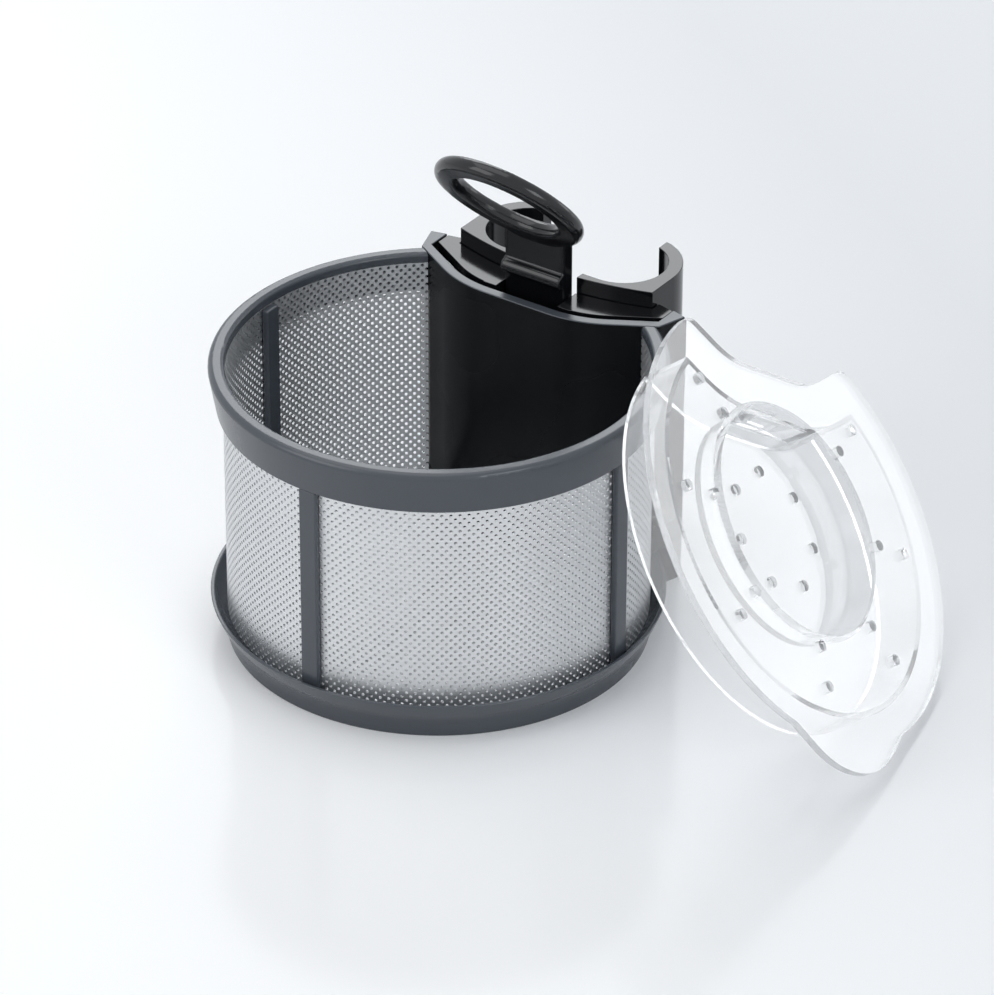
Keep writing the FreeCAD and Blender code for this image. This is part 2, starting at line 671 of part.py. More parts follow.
# Finger ring: a hoop of flattened section that leans forward from the stem's top.
ring = new_body("finger_ring")
ring_crown = row["ring_thick"] * 1.2
crown_rise = root(ring_crown * ring_crown - row["ring_thick"] * row["ring_thick"])
ring_side = row["ring_wide"] - ring_crown + crown_rise
ring_plan = outline(ring, "ring_section", "XZ_Plane", [
    (row["ring_radius"] + ring_side, -row["ring_thick"]),
    (row["ring_radius"] + ring_side, row["ring_thick"], ring_crown, "left"),
    (row["ring_radius"] - ring_side, row["ring_thick"]),
    (row["ring_radius"] - ring_side, -row["ring_thick"], ring_crown, "left"),
])
revolve(ring, "ring_sweep", ring_plan)
ring_low = row["stem_top"] + row["nose_reach"]
place(ring, 0, stem_front - row["ring_radius"] * cosine(row["ring_lean"]),
      ring_low + row["ring_radius"] * sine(row["ring_lean"]), -row["ring_lean"], X_AXIS)
fuse("handle", [stem, ring])

# Hinge pin of the handle, held in the core's two ears.
cylinder("handle_pin", row["pin_radius"], row["pin_length"],
         (-row["pin_length"] / 2, pin_y, row["pivot_height"]), as_size(90), Y_AXIS)

# Lid: one clear moulding. It is drawn lying flat, with its outer face at the height 0 and
# its cut-away edge towards +Y, and is then leaned on the rim.
lid = new_body("lid")
sheet_wall = row["lid_sheet"]
skirt_radius = bar_face - row["skirt_gap"]
skirt_inner = skirt_radius - row["skirt_wall"]
lid_radius = rim_radius + row["lid_over"]
inner_setback = -row["skirt_setback"] - row["skirt_wall"]
plate_plan = outline(lid, "plate_plan", "XY_Plane", d_outline(lid_radius, row["lid_setback"]),
                     -sheet_wall)
pad(lid, "plate", plate_plan, sheet_wall)
skirt_plan = outline(lid, "skirt_plan", "XY_Plane", d_outline(skirt_radius, -row["skirt_setback"]),
                     -row["skirt_depth"])
pad(lid, "skirt", skirt_plan, row["skirt_depth"])
hollow_plan = outline(lid, "hollow_plan", "XY_Plane", d_outline(skirt_inner, inner_setback),
                      -row["skirt_depth"])
pocket(lid, "skirt_hollow", hollow_plan, row["skirt_depth"] - sheet_wall, upward=True)


def on_circle(radius, angle):
    return radius * cosine(as_size(angle)), radius * sine(as_size(angle))


# The front tab lies a little to one side of the middle plane. Its sides run to its round end.
tab_x, tab_y = on_circle(row["tab_reach"] - row["tab_round"], row["tab_side"])


def on_tab(turn):
    x, y = on_circle(row["tab_round"], row["tab_side"] + turn)
    return tab_x + x, tab_y + y


tab_plan = outline(lid, "tab_plan", "XY_Plane", [
    on_circle(lid_radius - sheet_wall, row["tab_side"] - row["tab_spread"]),
    on_tab(-row["tab_curl"]),
    on_tab(row["tab_curl"]) + (row["tab_round"], "left"),
    on_circle(lid_radius - sheet_wall, row["tab_side"] + row["tab_spread"]),
], -sheet_wall)
pad(lid, "front_tab", tab_plan, sheet_wall)

# The well in the middle is sunk into the lid, with a floor that rises a little.
well_mouth = circles(lid, "well_mouth", "XY_Plane", [(0, -row["hole_shift"])], row["well_radius"])
pocket(lid, "well_opening", well_mouth, sheet_wall)
well_foot = row["well_radius"] - row["well_draft"]
well_plan = outline(lid, "well_section", "XZ_Plane", [
    (0, row["well_crown"] - row["well_depth"]),
    (well_foot, -row["well_depth"]),
    (row["well_radius"], 0),
    (row["well_radius"] + row["well_wall"], 0),
    (row["well_radius"] + row["well_wall"], -sheet_wall),
    (well_foot + row["well_wall"], -row["well_depth"] - row["well_wall"]),
    (0, row["well_crown"] - row["well_depth"] - row["well_wall"]),
], row["hole_shift"])
revolve(lid, "well", well_plan)
catch_front = wall_front - row["skirt_setback"]
catch_plan = outline(lid, "catch_plan", "XY_Plane", [
    (-row["catch_width"] / 2, catch_front - row["skirt_wall"]),
    (row["catch_width"] / 2, catch_front - row["skirt_wall"]),
    (row["catch_width"] / 2, catch_front + row["catch_reach"]),
    (-row["catch_width"] / 2, catch_front + row["catch_reach"]),
], -row["catch_low"])
pad(lid, "catch", catch_plan, row["catch_height"])


def hole_circle(radius, angles):
    spots = [on_circle(radius, angle) for angle in angles]
    return [(x, y - row["hole_shift"]) for x, y in spots]


RING_HOLES = 7
ring_angles = [90 + 45 * step for step in range(1, RING_HOLES + 1)]
well_angles = [row["well_turn"] + 360 / RING_HOLES * step for step in range(RING_HOLES)]
spots = (hole_circle(row["outer_holes"], ring_angles) + hole_circle(row["inner_holes"], ring_angles)
         + hole_circle(row["well_holes"], well_angles))
hole_plan = circles(lid, "hole_plan", "XY_Plane", spots, row["lid_hole"])
pocket(lid, "drain_holes", hole_plan, row["well_depth"] + row["well_wall"])

# The lid stands on its lowest edge and leans with its skirt on the rim. It is first turned,
# then lifted until it touches the table, and then moved outwards until it clears the rim.
number = {alias: size.number for alias, size in row.items()}
lean = math.radians(number["lean"])
bearing = math.radians(number["lean_turn"])
spin = math.radians(number["lean_spin"])
outward = Vector(math.cos(bearing), math.sin(bearing), 0)
sideways = Vector(-math.sin(bearing), math.cos(bearing), 0)
facing = outward * math.sin(lean) + Z_AXIS * math.cos(lean)
upslope = outward * -math.cos(lean) + Z_AXIS * math.sin(lean)
cut_edge = upslope * math.cos(spin) + sideways * math.sin(spin)
lid_turn = FreeCAD.Rotation(cut_edge.cross(facing), cut_edge, facing, "ZYX")
doc.recompute()
lid.Placement = FreeCAD.Placement(Vector(0, 0, 0), lid_turn)
half_table = row["tab_reach"].number * 2
table = Part.makePlane(half_table * 2, half_table * 2, Vector(-half_table, -half_table, -half_table))
lid_height = half_table - lid.Shape.distToShape(table)[0]
reach = rim_radius.number * math.sin(lean) + number["rim_top"] * math.cos(lean) + number["skirt_depth"]
for step in range(4):
    lid_centre = (outward * ((reach - lid_height * math.cos(lean)) / math.sin(lean))
                  + sideways * number["lean_shift"] + Z_AXIS * lid_height)
    lid.Placement = FreeCAD.Placement(lid_centre, lid_turn)
    gap = lid.Shape.distToShape(doc.getObject("rim_band").Shape)[0]
    reach = reach + number["lean_gap"] - gap

# Handle spring: a small torsion spring on the pin, between the core's floor and the stem.
wire = number["spring_wire"]
coil_radius = number["pin_radius"] + number["pin_fit"] + wire * 2
pitch = wire * 2.2
coil = Part.makeHelix(pitch, pitch * number["spring_turns"], coil_radius)
coil.rotate(Vector(0, 0, 0), Y_AXIS, 90)
coil.translate(Vector(-pitch * number["spring_turns"] / 2, pin_y.number, number["pivot_height"]))
start = coil.Edges[0].valueAt(coil.Edges[0].FirstParameter)
tangent = coil.Edges[0].tangentAt(coil.Edges[0].FirstParameter)
section = Part.Wire(Part.makeCircle(wire, start, tangent))
spring = doc.addObject("Part::Feature", "handle_spring")
spring.Shape = Part.Wire(coil.Edges).makePipeShell([section], True, True)

NODES = ["rim_band", "base_ring", "side_mesh", "front_rib", "right_rib", "left_rib", "rear_wall",
         "bottom_mesh", "bottom_cross", "column_clip", "rear_core", "magnets", "rear_foot", "handle",
         "handle_pin", "handle_spring", "lid"]
doc.recompute()
for item in doc.Objects:
    if "Invalid" in item.State or "Error" in item.State:
        raise SystemExit(f"{item.Name} failed: {item.State}")
os.makedirs("parts", exist_ok=True)
for name in NODES:
    shape = doc.getObject(name).Shape
    if shape.isNull() or not shape.isValid():
        raise SystemExit(f"{name} has no valid shape")
    shape.exportStep(f"parts/{name}.step")
    print(name, len(shape.Solids), round(shape.Volume, 1))
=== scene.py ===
import math

import bmesh
import bpy
from mathutils import Matrix, Vector


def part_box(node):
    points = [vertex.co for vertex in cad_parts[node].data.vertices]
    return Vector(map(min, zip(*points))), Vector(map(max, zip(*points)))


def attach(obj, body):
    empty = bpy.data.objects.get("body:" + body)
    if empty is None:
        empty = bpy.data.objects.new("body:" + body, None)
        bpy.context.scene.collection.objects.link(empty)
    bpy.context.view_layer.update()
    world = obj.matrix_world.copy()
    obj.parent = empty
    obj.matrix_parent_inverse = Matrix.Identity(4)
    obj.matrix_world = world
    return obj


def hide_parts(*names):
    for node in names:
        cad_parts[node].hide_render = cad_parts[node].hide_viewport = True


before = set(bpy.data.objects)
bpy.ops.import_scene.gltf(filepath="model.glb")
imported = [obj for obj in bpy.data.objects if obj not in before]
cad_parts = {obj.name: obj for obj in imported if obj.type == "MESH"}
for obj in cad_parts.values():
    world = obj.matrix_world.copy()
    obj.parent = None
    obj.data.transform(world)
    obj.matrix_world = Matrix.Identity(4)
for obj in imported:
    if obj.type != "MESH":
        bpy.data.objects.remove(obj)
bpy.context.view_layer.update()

MM = 0.001

# The stage: a wide pale table top under the object, which keeps its soft shadow. It has no
# edge in view, so it is the background too. Its colour is painted white at the front left and grades
# to a pale grey behind on the right: painted shade, for the light falling off across the table.
bpy.ops.object.select_all(action="DESELECT")
bpy.ops.mesh.primitive_plane_add(size=6.0, location=(0, 0, 0))
floor = bpy.context.object
floor.name = "floor"


def seen_mask(tree):
    """1 for what the camera sees, whether straight, mirrored or through clear plastic."""
    ray = tree.nodes.new("ShaderNodeLightPath")
    mask = ray.outputs["Is Camera Ray"]
    for kind in ("Is Glossy Ray", "Is Transmission Ray"):
        either = tree.nodes.new("ShaderNodeMath")
        either.operation = "MAXIMUM"
        tree.links.new(mask, either.inputs[0])
        tree.links.new(ray.outputs[kind], either.inputs[1])
        mask = either.outputs[0]
    return mask


# Painted shade on the table: its colour grades from white to a darker grey along this turned direction,
# between these two distances.
SHADE_FALL_TURN = math.radians(-56.7)
SHADE_FALL_START, SHADE_FALL_END = -36 * MM, 160 * MM
floor_paint = bpy.data.materials.new("pale_table")
floor_paint.use_nodes = True
nodes, links = floor_paint.node_tree.nodes, floor_paint.node_tree.links
surface = nodes["Principled BSDF"]
surface.inputs["Roughness"].default_value = 0.14
surface.inputs["Specular IOR Level"].default_value = 0.12
place = nodes.new("ShaderNodeTexCoord")
cloud = nodes.new("ShaderNodeTexNoise")
cloud.inputs["Scale"].default_value = 3.0
white = nodes.new("ShaderNodeValToRGB")
white.color_ramp.elements[0].color = (0.945, 0.95, 0.955, 1)
white.color_ramp.elements[1].color = (0.965, 0.968, 0.97, 1)
# The darker grey is painted shade, for less light behind on the right.
painted_shade_grey = nodes.new("ShaderNodeValToRGB")
painted_shade_grey.color_ramp.elements[0].color = (0.660, 0.680, 0.70, 1)
painted_shade_grey.color_ramp.elements[1].color = (0.680, 0.695, 0.715, 1)
shade_direction = nodes.new("ShaderNodeMapping")
shade_direction.inputs["Rotation"].default_value = (0, 0, SHADE_FALL_TURN)
distance = nodes.new("ShaderNodeSeparateXYZ")
painted_shade_fade = nodes.new("ShaderNodeMapRange")
painted_shade_fade.inputs["From Min"].default_value = SHADE_FALL_START
painted_shade_fade.inputs["From Max"].default_value = SHADE_FALL_END
tone = nodes.new("ShaderNodeMix")
tone.data_type = "RGBA"
lift = nodes.new("ShaderNodeMath")
lift.operation = "MULTIPLY"
lift.inputs[1].default_value = 0.085
links.new(place.outputs["Object"], cloud.inputs["Vector"])
links.new(place.outputs["Object"], shade_direction.inputs["Vector"])
links.new(shade_direction.outputs["Vector"], distance.inputs["Vector"])
links.new(distance.outputs["X"], painted_shade_fade.inputs["Value"])
links.new(cloud.outputs["Fac"], white.inputs["Fac"])
links.new(cloud.outputs["Fac"], painted_shade_grey.inputs["Fac"])
links.new(painted_shade_fade.outputs["Result"], tone.inputs["Factor"])
links.new(white.outputs["Color"], tone.inputs["A"])
links.new(painted_shade_grey.outputs["Color"], tone.inputs["B"])
links.new(tone.outputs["Result"], surface.inputs["Base Color"])
links.new(seen_mask(floor_paint.node_tree), lift.inputs[0])
surface.inputs["Emission Color"].default_value = (0.95, 0.97, 1.0, 1)
links.new(lift.outputs[0], surface.inputs["Emission Strength"])
floor.data.materials.append(floor_paint)

# The camera: it stands at the photograph's angle, some 31 degrees above the table, and looks
# from the front right through a long lens.
HEADING = math.radians(34.7)
PITCH = math.radians(31.35)
ROLL = math.radians(0.17)
SIDEWAYS, UPWARD, DISTANCE = 12.01 * MM, 25.18 * MM, 1244.2 * MM
PHOTO_WIDTH_PX = 994
FOCAL_PX = 6000
level = Vector((math.cos(HEADING), math.sin(HEADING), 0))
ahead = Vector((-math.sin(HEADING), math.cos(HEADING), 0))
sight = ahead * math.cos(PITCH) - Vector((0, 0, 1)) * math.sin(PITCH)
upright = ahead * math.sin(PITCH) + Vector((0, 0, 1)) * math.cos(PITCH)
right = level * math.cos(ROLL) + upright * math.sin(ROLL)
up = upright * math.cos(ROLL) - level * math.sin(ROLL)
lens = bpy.data.cameras.new("camera")
lens.sensor_fit = "HORIZONTAL"
lens.sensor_width = 36.0
lens.lens = lens.sensor_width * FOCAL_PX / PHOTO_WIDTH_PX
lens.clip_start = 0.05
camera = bpy.data.objects.new("camera", lens)
turned = Matrix((right, up, -sight)).transposed().to_4x4()
spot = right * SIDEWAYS + up * UPWARD - sight * DISTANCE
camera.matrix_world = Matrix.Translation(spot) @ turned
bpy.context.collection.objects.link(camera)
bpy.context.scene.camera = camera

# The light: a soft box overhead, a large soft one from the front left, and a bright panel
# behind, low enough to be mirrored in the object's glossy top faces. A small low panel shines
# in the flat of the lid.
AIM = Vector((0, 0, 0.04))
for name, place, size, power, colour in (
        ("top_box", (-0.25, -0.05, 1.1), 0.9, 2.9, (1.0, 0.99, 0.98)),
        ("front_box", (-0.55, -1.02, 0.75), 0.8, 3.8, (1.0, 0.99, 0.99)),
        ("side_box", (1.05, -0.35, 0.6), 0.5, 2.4, (0.93, 0.97, 1.0)),
        ("rear_panel", tuple(ahead * 1.25 + Vector((0, 0, 0.78))), 0.72, 4.4, (0.97, 0.99, 1.0)),
        ("low_panel", (0.62, 1.3, 0.23), 0.35, 0.8, (1.0, 1.0, 1.0))):
    glow = bpy.data.lights.new(name, "AREA")
    glow.size = size
    glow.energy = power
    glow.color = colour
    lamp = bpy.data.objects.new(name, glow)
    lamp.location = place
    lamp.rotation_euler = (AIM - Vector(place)).to_track_quat("-Z", "Y").to_euler()
    bpy.context.collection.objects.link(lamp)

# The room: dim where it lights the object, and white where metal and clear plastic show it.
world = bpy.data.worlds.new("room")
bpy.context.scene.world = world
world.use_nodes = True
nodes, links = world.node_tree.nodes, world.node_tree.links
room = nodes["Background"]
room.inputs["Color"].default_value = (0.90, 0.93, 0.97, 1)
strength = nodes.new("ShaderNodeMapRange")
strength.inputs["To Min"].default_value = 0.47
strength.inputs["To Max"].default_value = 1.0
links.new(seen_mask(world.node_tree), strength.inputs["Value"])
links.new(strength.outputs["Result"], room.inputs["Strength"])
bpy.context.scene.view_settings.view_transform = "Standard"

# Moulded skin: the fine grain, the dull patches and the trace of dust of a moulded plastic.
# Every piece but the clear lid and the perforated sheet has it, with its own values.
moulded_skin = bpy.data.node_groups.new("moulded_skin", "ShaderNodeTree")
panel = moulded_skin.interface
for name, kind, value in (("Colour", "NodeSocketColor", (0.1, 0.1, 0.1, 1)),
                          ("Dust", "NodeSocketColor", (0.2, 0.2, 0.2, 1)),
                          ("Grain", "NodeSocketFloat", 2500.0), ("Smooth", "NodeSocketFloat", 0.3),
                          ("Dull", "NodeSocketFloat", 0.4)):
    panel.new_socket(name, in_out="INPUT", socket_type=kind).default_value = value
for name, kind in (("Colour", "NodeSocketColor"), ("Roughness", "NodeSocketFloat"),
                   ("Height", "NodeSocketFloat")):
    panel.new_socket(name, in_out="OUTPUT", socket_type=kind)
nodes, links = moulded_skin.nodes, moulded_skin.links
given = nodes.new("NodeGroupInput")
result = nodes.new("NodeGroupOutput")
place = nodes.new("ShaderNodeTexCoord")
grain = nodes.new("ShaderNodeTexNoise")
grain.inputs["Detail"].default_value = 3.0
flow = nodes.new("ShaderNodeTexNoise")
flow.inputs["Scale"].default_value = 40.0
flow.inputs["Detail"].default_value = 1.0
sheen = nodes.new("ShaderNodeMapRange")
veil = nodes.new("ShaderNodeMapRange")
veil.inputs["From Min"].default_value = 0.42
veil.inputs["From Max"].default_value = 0.78
veil.inputs["To Max"].default_value = 0.07
tint = nodes.new("ShaderNodeMix")
tint.data_type = "RGBA"
links.new(place.outputs["Object"], grain.inputs["Vector"])
links.new(place.outputs["Object"], flow.inputs["Vector"])
links.new(given.outputs["Grain"], grain.inputs["Scale"])
links.new(flow.outputs["Fac"], sheen.inputs["Value"])
links.new(given.outputs["Smooth"], sheen.inputs["To Min"])
links.new(given.outputs["Dull"], sheen.inputs["To Max"])
links.new(flow.outputs["Fac"], veil.inputs["Value"])
links.new(veil.outputs["Result"], tint.inputs["Factor"])
links.new(given.outputs["Colour"], tint.inputs["A"])
links.new(given.outputs["Dust"], tint.inputs["B"])
links.new(tint.outputs["Result"], result.inputs["Colour"])
links.new(sheen.outputs["Result"], result.inputs["Roughness"])
links.new(grain.outputs["Fac"], result.inputs["Height"])


def moulded(name, colour, dust, grain, smooth, dull, relief):
    """A moulded plastic with its own colour, grain and gloss."""
    plastic = bpy.data.materials.new(name)
    plastic.use_nodes = True
    nodes, links = plastic.node_tree.nodes, plastic.node_tree.links
    surface = nodes["Principled BSDF"]
    skin = nodes.new("ShaderNodeGroup")
    skin.node_tree = moulded_skin
    skin.inputs["Colour"].default_value = (*colour, 1)
    skin.inputs["Dust"].default_value = (*dust, 1)
    skin.inputs["Grain"].default_value = grain
    skin.inputs["Smooth"].default_value = smooth
    skin.inputs["Dull"].default_value = dull
    bump = nodes.new("ShaderNodeBump")
    bump.inputs["Strength"].default_value = relief
    bump.inputs["Distance"].default_value = 0.05 * MM
    links.new(skin.outputs["Colour"], surface.inputs["Base Color"])
    links.new(skin.outputs["Roughness"], surface.inputs["Roughness"])
    links.new(skin.outputs["Height"], bump.inputs["Height"])
    links.new(bump.outputs["Normal"], surface.inputs["Normal"])
    return plastic


def merged_copy(node, name):
    """A copy of a solid that stands by itself, with its loose triangles joined."""
    bpy.ops.object.select_all(action="DESELECT")
    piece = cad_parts[node].copy()
    piece.data = piece.data.copy()
    piece.parent = None
    piece.matrix_world = Matrix.Identity(4)
    piece.name = name
    bpy.context.collection.objects.link(piece)
    piece.select_set(True)
    bpy.context.view_layer.objects.active = piece
    bpy.ops.object.mode_set(mode="EDIT")
    bpy.ops.mesh.select_all(action="SELECT")
    bpy.ops.mesh.remove_doubles(threshold=0.002 * MM)
    bpy.ops.object.mode_set(mode="OBJECT")
    return piece


def stand_for(piece, node, body, material):
    """Gives a piece its finish, and puts it in the place of a solid."""
    piece.data.materials.clear()
    piece.data.materials.append(material)
    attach(piece, body)
    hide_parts(node)


def round_edges(piece, width):
    """Rounds the sharp edges of a moulding, and shades its flats flat."""
    bpy.ops.object.mode_set(mode="EDIT")
    bpy.ops.mesh.select_all(action="SELECT")
    bpy.ops.mesh.dissolve_limited(angle_limit=math.radians(0.2))
    bpy.ops.object.mode_set(mode="OBJECT")
    bevel = piece.modifiers.new("edges", "BEVEL")
    bevel.limit_method = "ANGLE"
    bevel.angle_limit = math.radians(38)
    bevel.width = width * MM
    bevel.segments = 3
    bevel.use_clamp_overlap = True
    bpy.ops.object.modifier_apply(modifier="edges")
    bpy.ops.object.shade_smooth_by_angle(angle=math.radians(32))
    even = piece.modifiers.new("even", "WEIGHTED_NORMAL")
    even.keep_sharp = True
    bpy.ops.object.modifier_apply(modifier="even")


def rounded_copy(node, name, body, width, material):
    """A copy of a moulding with its sharp edges rounded, which stands for it."""
    piece = merged_copy(node, name)
    round_edges(piece, width)
    stand_for(piece, node, body, material)
    return piece


# Rim, foot, ribs and bottom cross: mid-dark grey plastic with a satin grain. On the real
# basket they are one injection moulding round the steel, so they share one finish.
frame_grey = moulded("frame_grey", (0.067, 0.078, 0.093), (0.12, 0.132, 0.148), 2600.0, 0.21, 0.28, 0.25)
for node, edge in (("rim_band", 0.25), ("base_ring", 0.3), ("front_rib", 0.35), ("right_rib", 0.35),
                   ("left_rib", 0.35), ("bottom_cross", 0.3)):
    rounded_copy(node, node + "_moulding", "basket", edge, frame_grey)

# Column clip, housing and foot plate: near-black plastic with a polished skin, moulded apart
# from the frame and fixed behind its wall.
gloss_black = moulded("gloss_black", (0.006, 0.0065, 0.008), (0.02, 0.021, 0.024), 900.0, 0.09, 0.18, 0.05)
for node, edge in (("column_clip", 0.14), ("rear_core", 0.2), ("rear_foot", 0.25)):
    rounded_copy(node, node + "_moulding", "basket", edge, gloss_black)

# Rear wall: a dull black moulding that closes the back of the basket. Its top face takes the
# rim's lighter grey instead: a painted highlight, the light line along its top edge.
PAINTED_HIGHLIGHT_BAND = 0.25 * MM
wall_black = moulded("wall_black", (0.004, 0.0047, 0.0058), (0.008, 0.009, 0.01), 900.0, 0.22, 0.32, 0.04)
wall_black.node_tree.nodes["Principled BSDF"].inputs["Specular IOR Level"].default_value = 0.22
rear_wall = rounded_copy("rear_wall", "rear_wall_moulding", "basket", 0.22, wall_black)
rear_wall.data.materials.append(frame_grey)
wall_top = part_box("rear_wall")[1][2]
# The faces at the very top take the lighter grey: a painted highlight along the wall's top edge.
for face in rear_wall.data.polygons:
    if face.center.z > wall_top - PAINTED_HIGHLIGHT_BAND:
        face.material_index = 1

# Handle: one moulding of the same polished black. Its stem, latch nose and finger ring run
# into each other without an edge, so the joined shape is remeshed finely and relaxed.
handle = merged_copy("handle", "ring_handle")
skin = handle.modifiers.new("skin", "REMESH")
skin.mode = "VOXEL"
skin.voxel_size = 0.33 * MM
bpy.ops.object.modifier_apply(modifier="skin")
relax = handle.modifiers.new("relax", "SMOOTH")
relax.factor = 0.6
relax.iterations = 4
bpy.ops.object.modifier_apply(modifier="relax")
bpy.ops.object.shade_smooth()
stand_for(handle, "handle", "latch", gloss_black)

# Perforated wall: satin stainless sheet, 0.5 mm thick, with staggered round holes of 0.7 mm.
# It is rolled round and gripped between the frame's ribs, so it is made in four panels.
rolled_steel = bpy.data.materials.new("rolled_steel")
rolled_steel.use_nodes = True
nodes, links = rolled_steel.node_tree.nodes, rolled_steel.node_tree.links
surface = nodes["Principled BSDF"]
surface.inputs["Metallic"].default_value = 1.0
place = nodes.new("ShaderNodeTexCoord")
stretch = nodes.new("ShaderNodeMapping")
stretch.inputs["Scale"].default_value = (260.0, 260.0, 2600.0)
brush = nodes.new("ShaderNodeTexNoise")
brush.inputs["Scale"].default_value = 1.0
brush.inputs["Detail"].default_value = 2.0
polish = nodes.new("ShaderNodeMapRange")
polish.inputs["To Min"].default_value = 0.38
polish.inputs["To Max"].default_value = 0.54
steel_tone = nodes.new("ShaderNodeValToRGB")
steel_tone.color_ramp.elements[0].color = (0.66, 0.67, 0.68, 1)
steel_tone.color_ramp.elements[1].color = (0.76, 0.77, 0.78, 1)
bump = nodes.new("ShaderNodeBump")
bump.inputs["Strength"].default_value = 0.12
bump.inputs["Distance"].default_value = 0.02 * MM
links.new(place.outputs["Object"], stretch.inputs["Vector"])
links.new(stretch.outputs["Vector"], brush.inputs["Vector"])
links.new(brush.outputs["Fac"], polish.inputs["Value"])
links.new(polish.outputs["Result"], surface.inputs["Roughness"])
links.new(brush.outputs["Fac"], steel_tone.inputs["Fac"])
links.new(steel_tone.outputs["Color"], surface.inputs["Base Color"])
links.new(brush.outputs["Fac"], bump.inputs["Height"])
links.new(bump.outputs["Normal"], surface.inputs["Normal"])

WALL_RADIUS = 43.45 * MM
WALL_LOW, WALL_HIGH = 5.9 * MM, 60.5 * MM
SHEET = 0.5 * MM
HOLE_RADIUS = 0.36 * MM
COLUMNS = 152
STEP_ACROSS = 2 * math.pi * WALL_RADIUS / COLUMNS
STEP_UP = 1.816 * MM


def perforated_sheet(name, columns, rows):
    """A flat sheet of staggered holes in the XZ plane, with a zigzag edge all round."""
    bpy.ops.object.select_all(action="DESELECT")
    bpy.ops.mesh.primitive_circle_add(vertices=8, radius=HOLE_RADIUS, rotation=(math.pi / 2, 0, 0))
    sheet = bpy.context.object
    sheet.name = name
    bpy.ops.object.transform_apply(location=False, rotation=True, scale=False)
    # One cell is a diamond of sheet round an eight-sided hole. The hole's outline is drawn out
    # to the middles of the diamond's sides, and the four points on the axes to its tips.
    bpy.ops.object.mode_set(mode="EDIT")
    bpy.ops.mesh.select_all(action="SELECT")
    bpy.ops.mesh.extrude_region_move()
    web = HOLE_RADIUS * math.cos(math.pi / 4)
    bpy.ops.transform.resize(value=(STEP_ACROSS / 4 / web, 1, STEP_UP / 4 / web))
    bpy.ops.mesh.select_mode(type="VERT")
    bpy.ops.mesh.select_all(action="DESELECT")
    bpy.ops.object.mode_set(mode="OBJECT")
    for vertex in sheet.data.vertices:
        on_axis = min(abs(vertex.co.x), abs(vertex.co.z)) < 0.01 * MM
        vertex.select = on_axis and vertex.co.length > HOLE_RADIUS * 1.2
    bpy.ops.object.mode_set(mode="EDIT")
    bpy.ops.transform.resize(value=(math.sqrt(2), 1, math.sqrt(2)))
    bpy.ops.mesh.select_all(action="SELECT")
    bpy.ops.mesh.duplicate_move(TRANSFORM_OT_translate={"value": (STEP_ACROSS / 2, 0, STEP_UP / 2)})
    bpy.ops.object.mode_set(mode="OBJECT")
    for axis, count, step in ((0, columns, STEP_ACROSS), (2, rows, STEP_UP)):
        run = sheet.modifiers.new("run", "ARRAY")
        run.count = count
        run.use_relative_offset = False
        run.use_constant_offset = True
        run.constant_offset_displace = [step if index == axis else 0 for index in range(3)]
        bpy.ops.object.modifier_apply(modifier="run")
    bpy.ops.object.mode_set(mode="EDIT")
    bpy.ops.mesh.select_all(action="SELECT")
    bpy.ops.mesh.remove_doubles(threshold=0.01 * MM)
    bpy.ops.transform.translate(value=(-STEP_ACROSS * (columns - 0.5) / 2, 0, 0))
    bpy.ops.object.mode_set(mode="OBJECT")
    return sheet


def trim(at, outward):
    """Cuts the sheet in hand with a plane and drops what lies beyond it."""
    bpy.ops.object.mode_set(mode="EDIT")
    bpy.ops.mesh.select_all(action="SELECT")
    bpy.ops.mesh.bisect(plane_co=at, plane_no=outward, clear_outer=True)
    bpy.ops.object.mode_set(mode="OBJECT")


def thicken(sheet):
    """Gives a sheet its thickness, half to either side."""
    wall = sheet.modifiers.new("wall", "SOLIDIFY")
    wall.thickness = SHEET
    wall.offset = 0
    wall.use_even_offset = False
    bpy.ops.object.modifier_apply(modifier="wall")


